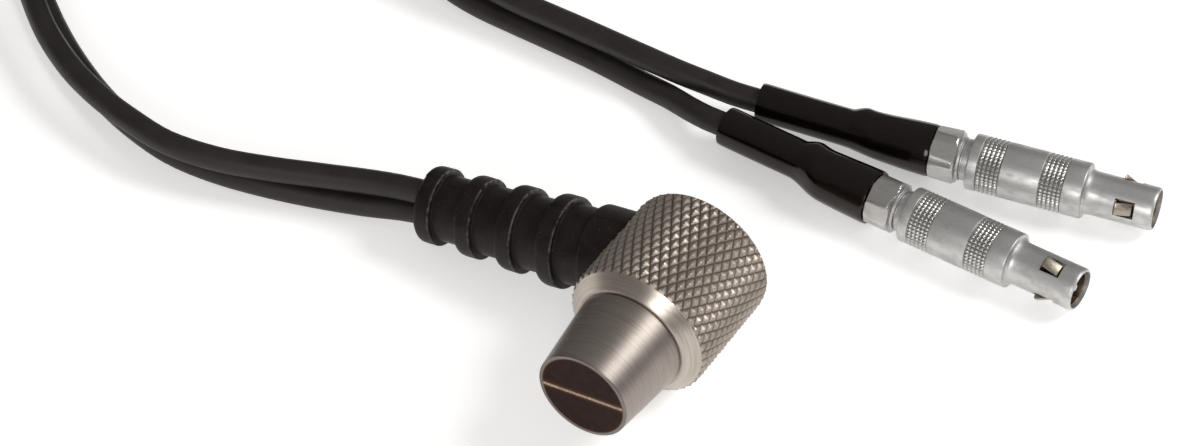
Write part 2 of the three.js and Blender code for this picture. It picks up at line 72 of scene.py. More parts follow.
def add_camera():
    data = bpy.data.cameras.new("camera")
    data.lens = LENS_MM
    data.sensor_width = 36
    camera = add_object("camera", data)
    flat = cos(VIEW_ELEVATION)
    toward = Vector((
        flat * sin(VIEW_AZIMUTH),
        -flat * cos(VIEW_AZIMUTH),
        sin(VIEW_ELEVATION),
    ))
    camera.location = VIEW_TARGET + VIEW_DISTANCE * toward
    camera.rotation_euler = toward.to_track_quat("Z", "Y").to_euler()
    bpy.context.scene.camera = camera


# ---- materials


class Look:
    """A node material under construction: a shader and a few helpers."""

    def __init__(self, name, color, roughness, metallic=0.0):
        self.material = bpy.data.materials.new(name)
        self.material.use_nodes = True
        self.nodes = self.material.node_tree.nodes
        self.links = self.material.node_tree.links
        self.shader = self.nodes["Principled BSDF"]
        self.set("Base Color", (*color, 1))
        self.set("Roughness", roughness)
        self.set("Metallic", metallic)
        self.height = None

    def set(self, label, value):
        self.shader.inputs[label].default_value = value

    def noise(self, scale, stretch=(1, 1, 1), detail=4.0):
        """Noise in the piece's own space; stretch multiplies the three axes."""
        place = self.nodes.new("ShaderNodeTexCoord")
        mapping = self.nodes.new("ShaderNodeMapping")
        mapping.inputs["Scale"].default_value = stretch
        texture = self.nodes.new("ShaderNodeTexNoise")
        texture.inputs["Scale"].default_value = scale
        texture.inputs["Detail"].default_value = detail
        self.links.new(place.outputs["Object"], mapping.inputs["Vector"])
        self.links.new(mapping.outputs["Vector"], texture.inputs["Vector"])
        return texture.outputs["Fac"]

    def attribute(self, name):
        node = self.nodes.new("ShaderNodeAttribute")
        node.attribute_name = name
        return node.outputs["Fac"]

    def ramp(self, value, stops):
        """A colour ramp; stops are (position, (r, g, b))."""
        node = self.nodes.new("ShaderNodeValToRGB")
        elements = node.color_ramp.elements
        while len(elements) < len(stops):
            elements.new(0.5)
        for element, (position, color) in zip(elements, stops):
            element.position = position
            element.color = (*color, 1)
        self.links.new(value, node.inputs["Fac"])
        return node.outputs["Color"]

    def spread(self, value, low, high):
        """Maps a noise value's middle range to low..high."""
        node = self.nodes.new("ShaderNodeMapRange")
        node.inputs["From Min"].default_value = 0.3
        node.inputs["From Max"].default_value = 0.7
        node.inputs["To Min"].default_value = low
        node.inputs["To Max"].default_value = high
        self.links.new(value, node.inputs["Value"])
        return node.outputs["Result"]

    def tint(self, value, stops):
        """A colour ramp over a noise value's middle range."""
        return self.ramp(self.spread(value, 0, 1), stops)

    def mix(self, factor, first, second):
        """Mixes two colours by a factor socket. Each is a socket or an (r, g, b)."""
        node = self.nodes.new("ShaderNodeMix")
        node.data_type = "RGBA"
        self.links.new(factor, node.inputs["Factor"])
        for label, value in (("A", first), ("B", second)):
            socket = [s for s in node.inputs if s.name == label and s.type == "RGBA"][0]
            if isinstance(value, tuple):
                socket.default_value = (*value, 1)
            else:
                self.links.new(value, socket)
        return [s for s in node.outputs if s.type == "RGBA"][0]

    def paint(self, color):
        self.links.new(color, self.shader.inputs["Base Color"])

    def rough(self, value):
        self.links.new(value, self.shader.inputs["Roughness"])

    def bump(self, value, strength, depth_mm):
        """Adds relief from a value, on top of any relief added before."""
        node = self.nodes.new("ShaderNodeBump")
        node.inputs["Strength"].default_value = strength
        node.inputs["Distance"].default_value = depth_mm * MM
        self.links.new(value, node.inputs["Height"])
        if self.height is not None:
            self.links.new(self.height, node.inputs["Normal"])
        self.height = node.outputs["Normal"]
        self.links.new(self.height, self.shader.inputs["Normal"])


def turned_steel(name, color, roughness, streak=0.55, lines=0.14):
    """Steel with fine lathe lines round local +X."""
    look = Look(name, color, roughness, metallic=1.0)
    look.set("Anisotropic", streak)
    look.set("Anisotropic Rotation", 0.25)
    around = look.nodes.new("ShaderNodeTangent")
    around.direction_type = "RADIAL"
    around.axis = "X"
    look.links.new(around.outputs["Tangent"], look.shader.inputs["Tangent"])
    fine = look.noise(260, stretch=(40, 1, 1), detail=5)
    broad = look.noise(200, stretch=(36, 1, 1), detail=5)
    look.rough(look.spread(fine, roughness - 0.05, roughness + 0.08))
    dark = tuple(0.8 * c for c in color)
    look.paint(look.tint(broad, [(0, dark), (0.7, color), (1, color)]))
    look.bump(fine, lines, 0.012)
    return look.material


def knurled_steel(name, crest, root_shade, roughness):
    """Knurled metal with painted shade: darker toward the bottom of its grooves."""
    look = Look(name, crest, roughness, metallic=1.0)
    depth = look.attribute("groove")
    grain = look.noise(2600, detail=3)
    # Painted shade: the groove attribute darkens the crest colour to the root shade colour toward
    # the groove bottoms.
    tone = look.ramp(depth, [(0, crest), (0.55, crest), (1, root_shade)])
    look.paint(look.mix(look.spread(grain, 0.0, 0.25), tone, root_shade))
    look.rough(look.spread(grain, roughness - 0.06, roughness + 0.12))
    look.bump(grain, 0.25, 0.01)
    return look.material


def satin_nickel(name, color, roughness):
    """Fine blasted nickel plate with faint handling marks."""
    look = Look(name, color, roughness, metallic=1.0)
    grain = look.noise(5200, detail=2)
    marks = look.noise(700, stretch=(1, 2.5, 1), detail=5)
    dark = tuple(0.8 * c for c in color)
    look.paint(look.tint(marks, [(0, dark), (0.6, color), (1, color)]))
    look.rough(look.spread(marks, roughness + 0.08, roughness - 0.05))
    look.bump(grain, 0.3, 0.006)
    return look.material


def moulded_rubber(name, color, roughness, specks=0.0):
    """Dull black rubber with some dust. An attribute marks the rib edges that get a painted
    highlight.
    """
    look = Look(name, color, roughness)
    look.set("Specular IOR Level", 0.22)
    look.set("Specular Tint", (1, 0.87, 0.83, 1))
    grain = look.noise(4200, detail=3)
    cloud = look.noise(420, detail=4)
    light = tuple(min(1, 1.7 * c + 0.004) for c in color)
    tone = look.tint(cloud, [(0, color), (1, light)])
    if specks:
        dust = look.noise(9500, detail=0)
        spot = look.ramp(dust, [(0.0, (0, 0, 0)), (0.79, (0, 0, 0)), (0.83, (specks,) * 3)])
        tone = look.mix(spot, tone, (0.30, 0.28, 0.26))
    patchy = look.noise(1600, detail=3)
    # Painted highlight: a lighter, patchy colour where the attribute marks the rib edges.
    painted_highlight = look.ramp(patchy, [(0.35, color), (0.6, (0.13, 0.12, 0.112))])
    look.paint(look.mix(look.attribute("edge_highlight"), tone, painted_highlight))
    look.rough(look.spread(cloud, roughness - 0.08, roughness + 0.1))
    look.bump(grain, 0.35, 0.02)
    return look.material


def cable_jacket(name):
    """Satin black plastic with a faint cloudiness."""
    look = Look(name, (0.018, 0.016, 0.0155), 0.5)
    look.set("Specular IOR Level", 0.35)
    look.set("Specular Tint", (1, 0.92, 0.89, 1))
    grain = look.noise(3800, detail=3)
    cloud = look.noise(300, detail=4)
    look.paint(look.tint(cloud, [
        (0, (0.014, 0.012, 0.0115)), (1, (0.022, 0.019, 0.018))]))
    look.rough(look.spread(cloud, 0.42, 0.58))
    look.bump(grain, 0.25, 0.012)
    return look.material


def shrink_tube(name):
    """Glossy heat-shrink with faint lengthwise drawing lines."""
    look = Look(name, (0.003, 0.002, 0.002), 0.2)
    look.set("Specular IOR Level", 0.36)
    look.set("Specular Tint", (1, 0.85, 0.8, 1))
    drawn = look.noise(900, stretch=(0.12, 1, 1), detail=3)
    grain = look.noise(3000, detail=2)
    look.paint(look.tint(grain, [
        (0, (0.002, 0.0012, 0.0012)), (1, (0.005, 0.0034, 0.003))]))
    look.rough(look.spread(drawn, 0.1, 0.2))
    look.bump(drawn, 0.35, 0.06)
    look.bump(grain, 0.1, 0.01)
    return look.material


def latch_metal(name, color):
    """Drawn yellowish metal with marks along local X."""
    look = Look(name, color, 0.33, metallic=1.0)
    drawn = look.noise(500, stretch=(1, 12, 12), detail=4)
    dark = tuple(0.7 * c for c in color)
    look.paint(look.tint(drawn, [(0, dark), (1, color)]))
    look.rough(look.spread(drawn, 0.27, 0.42))
    look.bump(drawn, 0.2, 0.01)
    return look.material


def delay_plastic(name):
    """Dark brown polymer with a painted amber glow, where light would come through at the rim and
    barrier.
    """
    look = Look(name, (0.03, 0.013, 0.009), 0.4)
    look.set("Specular IOR Level", 0.06)
    edge = look.attribute("edge")
    cloud = look.noise(900, detail=5)
    scratches = look.noise(700, stretch=(1, 1, 14), detail=4)
    core = look.tint(cloud, [
        (0, (0.016, 0.0065, 0.005)), (1, (0.026, 0.011, 0.008))])
    # Painted glow: the edge attribute mixes amber into the base colour.
    amber = look.ramp(edge, [(0, (0, 0, 0)), (0.35, (0.05, 0.05, 0.05)), (1, (0.8, 0.8, 0.8))])
    look.paint(look.mix(amber, core, (0.12, 0.045, 0.016)))
    look.rough(look.spread(scratches, 0.35, 0.5))
    look.bump(scratches, 0.12, 0.01)
    return look.material


def barrier_cork(name):
    """Pale, coarse cork."""
    look = Look(name, (0.42, 0.31, 0.2), 0.85)
    grain = look.noise(5200, detail=3)
    look.paint(look.tint(grain, [
        (0, (0.19, 0.14, 0.1)), (0.6, (0.33, 0.265, 0.205)), (1, (0.5, 0.43, 0.35))]))
    look.bump(grain, 0.6, 0.03)
    return look.material


def plain_solid(name, color, roughness):
    """A cast or fired solid with a fine grain."""
    look = Look(name, color, roughness)
    grain = look.noise(3000, detail=4)
    dark = tuple(0.75 * c for c in color)
    look.paint(look.tint(grain, [(0, dark), (1, color)]))
    look.bump(grain, 0.3, 0.02)
    return look.material


def woven_strap(name):
    """Black woven tape."""
    look = Look(name, (0.02, 0.02, 0.021), 0.9)
    look.set("Sheen Weight", 0.3)
    weave = look.noise(2400, stretch=(1, 3, 1), detail=2)
    look.paint(look.tint(weave, [
        (0, (0.008, 0.008, 0.009)), (1, (0.045, 0.045, 0.047))]))
    look.bump(weave, 0.8, 0.08)
    return look.material


def table_paper(name):
    """White paper lit from below, as on a light table."""
    look = Look(name, (0.93, 0.92, 0.91), 0.75)
    look.set("Emission Color", (1, 1, 1, 1))
    look.set("Emission Strength", 0.44)
    grain = look.noise(40, detail=3)
    look.paint(look.tint(grain, [
        (0, (0.925, 0.915, 0.905)), (1, (0.94, 0.93, 0.92))]))
    return look.material


# The second colour of a knurled material is painted shade at its groove bottoms.
KNURLED = knurled_steel("knurled_steel", (0.42, 0.37, 0.325), (0.14, 0.113, 0.09), 0.46)
TURNED = turned_steel("turned_steel", (0.48, 0.425, 0.375), 0.34, streak=0.65, lines=0.4)
# A darker copy of the turned steel: painted shade on the nose.
NOSE_SHADED_STEEL = turned_steel("nose_shaded_steel", (0.33, 0.292, 0.262), 0.45, streak=0.48, lines=0.28)
# A still darker copy: painted shade on the nose's rim.
RIM_SHADED_STEEL = turned_steel("rim_shaded_steel", (0.2, 0.175, 0.16), 0.35, streak=0.0)
CAP_STEEL = turned_steel("cap_steel", (0.5, 0.45, 0.4), 0.35)
BOOT_RUBBER = moulded_rubber("boot_rubber", (0.0045, 0.003, 0.0028), 0.48, specks=0.3)
JACKET = cable_jacket("cable_jacket")
SHRINK = shrink_tube("heat_shrink")
NICKEL = satin_nickel("plug_nickel", (0.56, 0.555, 0.545), 0.46)
NUT_NICKEL = satin_nickel("nut_nickel", (0.53, 0.52, 0.505), 0.32)
# Its second colour is painted shade at the groove bottoms, too.
PLUG_KNURL = knurled_steel("plug_knurl", (0.6, 0.59, 0.575), (0.29, 0.28, 0.265), 0.3)
LATCH = latch_metal("latch_metal", (0.42, 0.37, 0.3))
BRASS = latch_metal("contact_brass", (0.3, 0.225, 0.17))
DELAY = delay_plastic("delay_plastic")
BARRIER = barrier_cork("barrier_cork")
CERAMIC = plain_solid("ceramic", (0.6, 0.55, 0.42), 0.5)
BACKING = plain_solid("backing_resin", (0.08, 0.08, 0.085), 0.8)
INSULATOR = plain_solid("insulator", (0.03, 0.028, 0.026), 0.5)
STRAP = woven_strap("tie_strap")

# ---- mesh-making aids


ON_AXIS = 1e-6


def add_object(name, data):
    obj = bpy.data.objects.new(name, data)
    bpy.context.scene.collection.objects.link(obj)
    return obj


def round_x(along, radius, angle):
    """A point in metres, from a station and radius in mm and an angle round X."""
    return (along * MM, radius * cos(angle) * MM, radius * sin(angle) * MM)


def noise_round_x(along, angle, reach):
    """Noise that joins up with itself round X; a longer reach makes it busier."""
    return noise.noise(Vector((along, cos(angle) * reach, sin(angle) * reach)))


def softened(profile, steps=4):
    """Rounds a profile's corners. Points are (along, radius) or, for a rounded
    corner, (along, radius, how far the rounding reaches)."""
    points = []
    count = len(profile)
    for index, entry in enumerate(profile):
        here = Vector(entry[:2])
        reach = entry[2] if len(entry) > 2 else 0
        if not reach or index in (0, count - 1):
            points.append(here)
            continue
        before = Vector(profile[index - 1][:2]) - here
        after = Vector(profile[index + 1][:2]) - here
        start = here + before.normalized() * min(reach, before.length / 2)
        end = here + after.normalized() * min(reach, after.length / 2)
        for step in range(steps + 1):
            t = step / steps
            points.append((1 - t) ** 2 * start + 2 * t * (1 - t) * here + t * t * end)
    return points


def add_turned(bm, profile, segments, material=0, closed=False, radius_at=None):
    """Turns a profile (mm) round local +X. radius_at(along, radius, angle) may
    change the radius, for wrinkles or a parting line."""
    rings = []
    for along, radius in profile:
        if radius < ON_AXIS:
            rings.append([bm.verts.new((along * MM, 0, 0))])
            continue
        ring = []
        for segment in range(segments):
            angle = TURN * segment / segments
            r = radius_at(along, radius, angle) if radius_at else radius
            ring.append(bm.verts.new(round_x(along, r, angle)))
        rings.append(ring)
    pairs = list(zip(rings, rings[1:]))
    if closed:
        pairs.append((rings[-1], rings[0]))
    for low, high in pairs:
        for segment in range(segments):
            following = (segment + 1) % segments
            if len(low) == 1:
                corners = [low[0], high[following], high[segment]]
            elif len(high) == 1:
                corners = [low[segment], low[following], high[0]]
            else:
                corners = [low[segment], low[following], high[following], high[segment]]
            face = bm.faces.new(corners)
            face.material_index = material


def fold(value):
    """A triangle wave of period 1: 0 at whole numbers and 1 halfway between."""
    return 1 - 2 * abs(value - math.floor(value) - 0.5)


def add_knurl(bm, start, end, crest, depth, starts, angle, steps, limit):
    """A band of diamond pyramids (mm) between two stations along local +X.
    Two families of V grooves cross at plus and minus angle to the axis.
    limit(along) caps the radius, where a chamfer runs through the band."""
    groove_power = 1.15
    capped_groove = 0.3
    band = bmesh.new()
    groove = band.verts.layers.float.new("groove")
    length = TURN * crest / (starts * math.tan(angle))
    count = starts * steps
    low = math.floor(start * 2 * steps / length) - 2 * steps
    high = math.ceil(end * 2 * steps / length) + 2 * steps
    grid = {}
    for i in range(count):
        for m in range(low, high + 1):
            a = i / steps
            b = (i - m) / steps
            along = m * length / (2 * steps)
            around = (2 * i - m) * pi / count
            # The groove value is the depth below the crest. The knurl material paints shade by
            # it, and less where the chamfer caps the knurl.
            deep = max(fold(a), fold(b)) ** groove_power
            radius = crest - depth * deep
            if limit(along) < radius:
                radius = limit(along)
                deep = capped_groove * deep
            vert = band.verts.new(round_x(along, radius, around))
            vert[groove] = deep
            grid[i, m] = vert
    for i in range(count):
        nearby = (i + 1) % count
        for m in range(low + 1, high):
            band.faces.new((
                grid[i, m], grid[i, m - 1], grid[nearby, m], grid[nearby, m + 1]))
    for station, side in ((start, -1), (end, 1)):
        everything = band.verts[:] + band.edges[:] + band.faces[:]
        bmesh.ops.bisect_plane(band, geom=everything, plane_co=(station * MM, 0, 0),
                               plane_no=(side, 0, 0), clear_outer=True)
    bmesh.ops.recalc_face_normals(band, faces=band.faces[:])
    part = bpy.data.meshes.new("band")
    band.to_mesh(part)
    band.free()
    bm.from_mesh(part)
    bpy.data.meshes.remove(part)


def add_cross_knurl(bm, start, end, crest, depth, around, material):
    """A band of square pyramids (mm): grooves along the axis cross rings."""
    groove = bm.verts.layers.float.get("groove") or bm.verts.layers.float.new("groove")
    groove_power = 1.3
    steps = 6
    rows = round((end - start) / KNURL_PITCH)
    rings = []
    for row in range(rows * steps + 1):
        along = start + (end - start) * row / (rows * steps)
        ring = []
        for segment in range(around * steps):
            # The groove value drives painted shade toward the groove bottoms.
            deep = max(fold(row / steps + 0.5), fold(segment / steps + 0.5))
            angle = TURN * segment / (around * steps)
            radius = crest - depth * deep ** groove_power
            vert = bm.verts.new(round_x(along, radius, angle))
            vert[groove] = deep
            ring.append(vert)
        rings.append(ring)
    for low, high in zip(rings, rings[1:]):
        for segment in range(around * steps):
            following = (segment + 1) % (around * steps)
            face = bm.faces.new((low[segment], low[following], high[following], high[segment]))
            face.material_index = material


def piece(name, bm, looks, place, body, replaced, sharp=35):
    """Turns a bmesh into a named, placed object that rides on a body. Edges
    that bend by more than sharp degrees stay sharp."""
    bmesh.ops.recalc_face_normals(bm, faces=bm.faces[:])
    mesh = bpy.data.meshes.new(name)
    bm.to_mesh(mesh)
    bm.free()
    for look in looks:
        mesh.materials.append(look)
    mesh.shade_smooth()
    mesh.set_sharp_from_angle(angle=radians(sharp))
    obj = add_object(name, mesh)
    obj.matrix_world = place
    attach(obj, body)
    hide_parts(*replaced)
    return obj


def repaint(node, look):
    """Gives a shown CAD node its finished material."""
    mesh = frame["nodes"][node].data
    mesh.materials.clear()
    mesh.materials.append(look)


# ---- places from the frame

HOUSING_LOW, HOUSING_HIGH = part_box("housing")
HEAD_R = (HOUSING_HIGH.z - HOUSING_LOW.z) / 2 / MM
HEAD_CENTRE = Vector((0, 0, HEAD_R * MM))
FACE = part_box("nose_sleeve")[0].y / MM
BACK = HOUSING_HIGH.y / MM
BEVEL_FRONT = HOUSING_LOW.y / MM
BEVEL_LENGTH = 1.7
BEVEL_R = 6.5
NOSE_BORE_R = 4.94
BARRIER_HALF = 0.17
face_side = Vector(mounts["contact_face"]["pos_m"]) - HEAD_CENTRE
HEAD_ROLL = math.atan2(face_side.x, face_side.z)
HEAD_ROOT = Matrix.Translation(HEAD_CENTRE) @ Matrix.Rotation(HEAD_ROLL, 4, "Y")
HEAD_PLACE = HEAD_ROOT @ Matrix.Rotation(pi / 2, 4, "Z")

# The boot points away from the head's side. It is swung, raised and sheared a little.
BOOT_SWING = radians(3.5)
BOOT_AXIS = 8.2
BOOT_RISE = 0.03
BOOT_LEAN = 0.045
BOOT_PLACE = (
    HEAD_ROOT
    @ Matrix.Translation((0, BOOT_AXIS * MM, BOOT_RISE * MM))
    @ Matrix.Rotation(pi + BOOT_SWING, 4, "Z"))

# Stations along a plug's local X, in mm, and how long its shell is.
PLUG_HINGE_STATION = -2.5
SHELL_LENGTH = 13.2
NECK_END = -SHELL_LENGTH - 1.4
NUT_END = NECK_END - 3.0
PIN_BACK = -7.9
NECK_FRONT = -4
BULKHEAD = -8.3


def plug_place(label):
    """A plug's frame: local +X out of its mouth, 0 at the nose's base, and
    local +Z toward its first latch. The latches' hinges fix all three."""
    hinges = [Vector(joints[f"{label}_latch_{n}_flex"]["pos_m"]) for n in (1, 2, 3)]
    middle = sum(hinges, Vector()) / 3
    forward = -Vector(joints[f"{label}_shell_slide"]["axis"]).normalized()
    up = (hinges[0] - middle).normalized()
    side = up.cross(forward)
    origin = middle - forward * PLUG_HINGE_STATION * MM
    turn = Matrix((forward, side, up)).transposed()
    return Matrix.Translation(origin) @ turn.to_4x4()


# ---- the leads

CABLE_D = 2.8 * MM
COIL_COLUMNS = 4
TURN_PITCH = 2.85 * MM
POINTS_PER_TURN = 24
COIL_ENTRY = radians(210)
TURNS = 7.5
STEP_ACROSS = 0.2

LEAD_A_FROM_BOOT = [
    (-0.03125, 0.00628, 0.00565), (-0.0346, 0.0058, 0.0053), (-0.0385, 0.0048, 0.00495),
    (-0.0432, 0.0033, 0.0046), (-0.0487, 0.0014, 0.00435), (-0.0545, -0.0004, 0.0043),
    (-0.0606, -0.0012, 0.0043), (-0.066, -0.0005, 0.0043), (-0.0711, 0.0007, 0.0043),
    (-0.0764, 0.0027, 0.0043), (-0.082, 0.0059, 0.0043), (-0.087, 0.0098, 0.0045),
    (-0.0922, 0.0146, 0.0053), (-0.0974, 0.0202, 0.0066), (-0.1016, 0.0258, 0.0076),
    (-0.1042, 0.0307, 0.0081),
]
LEAD_A_TO_PLUG = [
    (-0.067, 0.0522, 0.0108), (-0.0637, 0.0474, 0.0102), (-0.0598, 0.0436, 0.009),
    (-0.055, 0.0408, 0.0076), (-0.0498, 0.039, 0.0062), (-0.045, 0.0382, 0.0051),
    (-0.0398, 0.0381, 0.0044), (-0.0316, 0.0381, 0.00435), (-0.0234, 0.03805, 0.0043),
    (-0.0184, 0.03825, 0.00405), (-0.0154, 0.03865, 0.00375), (-0.0122, 0.0391, 0.0034),
]
LEAD_B_FROM_BOOT = [
    (-0.03085, 0.00628, 0.0027), (-0.0345, 0.0056, 0.0022), (-0.0386, 0.0044, 0.0017),
    (-0.0444, 0.0027, 0.00145), (-0.05, 0.0012, 0.00145), (-0.0555, 0.0002, 0.00145),
    (-0.0613, 0.0, 0.00145), (-0.0677, 0.0013, 0.00145), (-0.0732, 0.0033, 0.00145),
    (-0.0786, 0.0061, 0.00145), (-0.083, 0.0089, 0.00145), (-0.0874, 0.0122, 0.00145),
    (-0.0928, 0.0166, 0.0015), (-0.0976, 0.0214, 0.0017), (-0.1012, 0.0257, 0.0019),
    (-0.1041, 0.0306, 0.0021),
]
LEAD_B_TO_PLUG = [
    (-0.067, 0.0521, 0.0049), (-0.0637, 0.0472, 0.0046), (-0.0598, 0.0431, 0.0037),
    (-0.055, 0.04, 0.0027), (-0.0498, 0.0384, 0.0018), (-0.045, 0.0378, 0.00145),
    (-0.0393, 0.0376, 0.00145), (-0.0298, 0.0374, 0.00145), (-0.0227, 0.03675, 0.00155),
    (-0.0186, 0.03615, 0.00195), (-0.0154, 0.03515, 0.0026), (-0.0127, 0.0345, 0.0031),
]


def coil_turns(node):
    """The centre line of a coil wound in a CAD ring: the lower layer from the
    outside in, then the upper layer back out, clockwise seen from above. In
    the last part of each turn the cable steps across to its next place."""
    low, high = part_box(node)
    centre = (low + high) / 2
    middle_r = (high.x - low.x) / 2 - COIL_COLUMNS * TURN_PITCH / 2
    layers_z = (low.z + TURN_PITCH / 2, low.z + 1.5 * TURN_PITCH)
    points = []
    for step in range(int(TURNS * POINTS_PER_TURN) + 1):
        turn = step / POINTS_PER_TURN
        radii = []
        heights = []
        for turn_number in (int(turn), int(turn) + 1):
            layer, place = divmod(min(turn_number, 2 * COIL_COLUMNS - 1), COIL_COLUMNS)
            column = place if layer else COIL_COLUMNS - 1 - place
            radii.append(middle_r + (column - (COIL_COLUMNS - 1) / 2) * TURN_PITCH)
            heights.append(layers_z[layer])
        across = max(0, (turn - int(turn) - (1 - STEP_ACROSS)) / STEP_ACROSS)
        across = across * across * (3 - 2 * across)
        radius = radii[0] + (radii[1] - radii[0]) * across
        angle = COIL_ENTRY - TURN * turn
        points.append((
            centre.x + radius * cos(angle),
            centre.y + radius * sin(angle),
            heights[0] + (heights[1] - heights[0]) * across))
    return points


def through(points, step=0.0014):
    """A Catmull-Rom curve through the points, sampled about every step metres."""
    route = [Vector(point) for point in points]
    route.insert(0, 2 * route[0] - route[1])
    route.append(2 * route[-1] - route[-2])
    sampled = []
    for a, b, c, d in zip(route, route[1:], route[2:], route[3:]):
        pieces = max(2, round((c - b).length / step))
        for index in range(pieces):
            t = index / pieces
            sampled.append(0.5 * (
                2 * b + (c - a) * t + (2 * a - 5 * b + 4 * c - d) * t * t
                + (3 * b - a - 3 * c + d) * t ** 3))
    sampled.append(route[-2])
    return sampled


def lead(name, from_boot, coil_node, to_plug, label, nodes):
    """One cable, from boot to heat-shrink. Returns it and its centre line's length."""
    into_boot = 2 * MM
    before_sleeve = 0.3 * MM
    into_sleeve = 4 * MM
    place = plug_place(label)
    sleeve = SLEEVES[label]
    bend = Vector((0, (sleeve["bend"] + sleeve["offset"]) * MM, 0))
    end = place @ Vector((sleeve_back(label) - before_sleeve, 0, 0)) + bend
    inside = place @ Vector((sleeve_back(label) + into_sleeve, 0, 0)) + 0.8 * bend
    leaving = Vector(from_boot[0]) - Vector(from_boot[1])
    rooted = Vector(from_boot[0]) + leaving.normalized() * into_boot
    points = through([rooted, *from_boot, *coil_turns(coil_node), *to_plug, end, inside])
    data = bpy.data.curves.new(name, "CURVE")
    data.dimensions = "3D"
    data.bevel_depth = CABLE_D / 2
    data.bevel_resolution = 5
    spline = data.splines.new("POLY")
    spline.points.add(len(points) - 1)
    for target, point in zip(spline.points, points):
        target.co = (*point, 1)
    spline.use_smooth = True
    data.materials.append(JACKET)
    obj = add_object(name, data)
    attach(obj, "probe")
    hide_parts(*nodes)
    length = sum((b - a).length for a, b in zip(points, points[1:]))
    return obj, length


def sleeve_back(label):
    """The station, in metres, where a plug's heat-shrink starts on its cable."""
    return (NUT_END - SLEEVES[label]["length"]) * MM


# ---- probe pieces


def housing_look():
    """The knurled head. The knurl is a skin over a plain core; the front bevel and
    the back chamfer cut through it."""
    bm = bmesh.new()
    core_r = HEAD_R - 0.34
    knurl_depth = 0.3
    chamfer = 0.35
    nose_bore_r = 5.7
    cap_bore_r = 6.9
    bore_step = 0.5
    core_back = BACK - 0.02
    slope = (HEAD_R - BEVEL_R) / BEVEL_LENGTH
    knurl_start = BEVEL_FRONT + (core_r - BEVEL_R) / slope

    def chamfered(along):
        front = BEVEL_R + (along - BEVEL_FRONT) * slope
        rear = HEAD_R - max(0, along - (BACK - chamfer))
        return min(front, rear)

    body = softened([
        (BEVEL_FRONT, nose_bore_r), (BEVEL_FRONT, BEVEL_R, 0.12), (knurl_start, core_r),
        (core_back, core_r), (core_back, cap_bore_r + 0.05, 0.1),
        (bore_step, cap_bore_r), (bore_step, nose_bore_r),
    ])
    add_turned(bm, body, segments=240, material=1, closed=True)
    add_knurl(bm, knurl_start, BACK, HEAD_R, knurl_depth, starts=44, angle=radians(30),
              steps=6, limit=chamfered)
    return piece("housing_look", bm, [KNURLED, TURNED], HEAD_PLACE, "probe",
                 ["housing"], sharp=24)


def nose_look():
    """The tapered nose, with a spigot inside the head and a rim painted darker as shade."""
    bm = bmesh.new()
    face_r = 5.36
    taper_r = 6.12
    neck_r = 6.2
    spigot_r = 5.6
    taper_back = BEVEL_FRONT - 1.4
    neck_back = BEVEL_FRONT - 0.06
    spigot_back = BEVEL_FRONT + 3
    shaded_rim_depth = 0.16
    profile = softened([
        (FACE + 6, NOSE_BORE_R), (FACE, NOSE_BORE_R, 0.05), (FACE, face_r, 0.12),
        (taper_back, taper_r, 0.1), (neck_back, neck_r, 0.05), (neck_back, spigot_r),
        (spigot_back, spigot_r), (spigot_back, NOSE_BORE_R),
    ])
    add_turned(bm, profile, segments=240, closed=True)
    # The faces at the rim take the darker steel: painted shade.
    for face in bm.faces:
        if max(vert.co.x for vert in face.verts) < (FACE + shaded_rim_depth) * MM:
            face.material_index = 1
    return piece("nose_sleeve_look", bm, [NOSE_SHADED_STEEL, RIM_SHADED_STEEL], HEAD_PLACE, "probe",
                 ["nose_sleeve"])


def back_cap_look():
    """A plain disc with a rounded edge."""
    bm = bmesh.new()
    cap_r = 6.8
    face_r = 6.7
    thickness = 1.4
    profile = softened([
        (BACK, 0), (BACK, face_r, 0.25), (BACK - 0.4, cap_r),
        (BACK - thickness, cap_r), (BACK - thickness, 0),
    ])
    add_turned(bm, profile, segments=160)
    return piece("back_cap_look", bm, [CAP_STEEL], HEAD_PLACE, "probe",
                 ["back_cap"])


def delay_line_look(label, side):
    """Half a round rod; the edge attribute is 1 at the rim and the barrier."""
    bm = bmesh.new()
    edge = bm.verts.layers.float.new("edge")
    radius = NOSE_BORE_R - 0.01
    flat = BARRIER_HALF
    recess = 0.03
    depth = 11.5
    glow_reach = 0.13
    smallest_half = 0.02
    rows = 14
    columns = 60
    sheets = []
    for along in (FACE + recess, FACE + depth):
        sheet = []
        for row in range(rows + 1):
            height = flat + (radius - flat) * (row / rows) ** 0.8
            half = math.sqrt(max(radius ** 2 - height ** 2, smallest_half ** 2))
            line = []
            for column in range(columns + 1):
                across = -half * cos(pi * column / columns)
                vert = bm.verts.new((along * MM, across * MM, side * height * MM))
                rim = radius - math.hypot(across, height)
                near = min(rim, (height - flat) * 1.3)
                # The edge value places the painted amber glow.
                vert[edge] = math.exp(-max(near, 0) / glow_reach)
                line.append(vert)
            sheet.append(line)
        sheets.append(sheet)
    front, back = sheets
    for sheet in sheets:
        for row in range(rows):
            for column in range(columns):
                bm.faces.new((sheet[row][column], sheet[row][column + 1],
                              sheet[row + 1][column + 1], sheet[row + 1][column]))
    outline = [(0, column) for column in range(columns + 1)]
    outline += [(row, columns) for row in range(1, rows + 1)]
    outline += [(rows, column) for column in range(columns - 1, -1, -1)]
    outline += [(row, 0) for row in range(rows - 1, 0, -1)]
    for (r1, c1), (r2, c2) in zip(outline, outline[1:] + outline[:1]):
        bm.faces.new((front[r1][c1], front[r2][c2], back[r2][c2], back[r1][c1]))
    return piece(f"delay_line_{label}_look", bm, [DELAY], HEAD_PLACE, "probe",
                 [f"delay_line_{label}"])


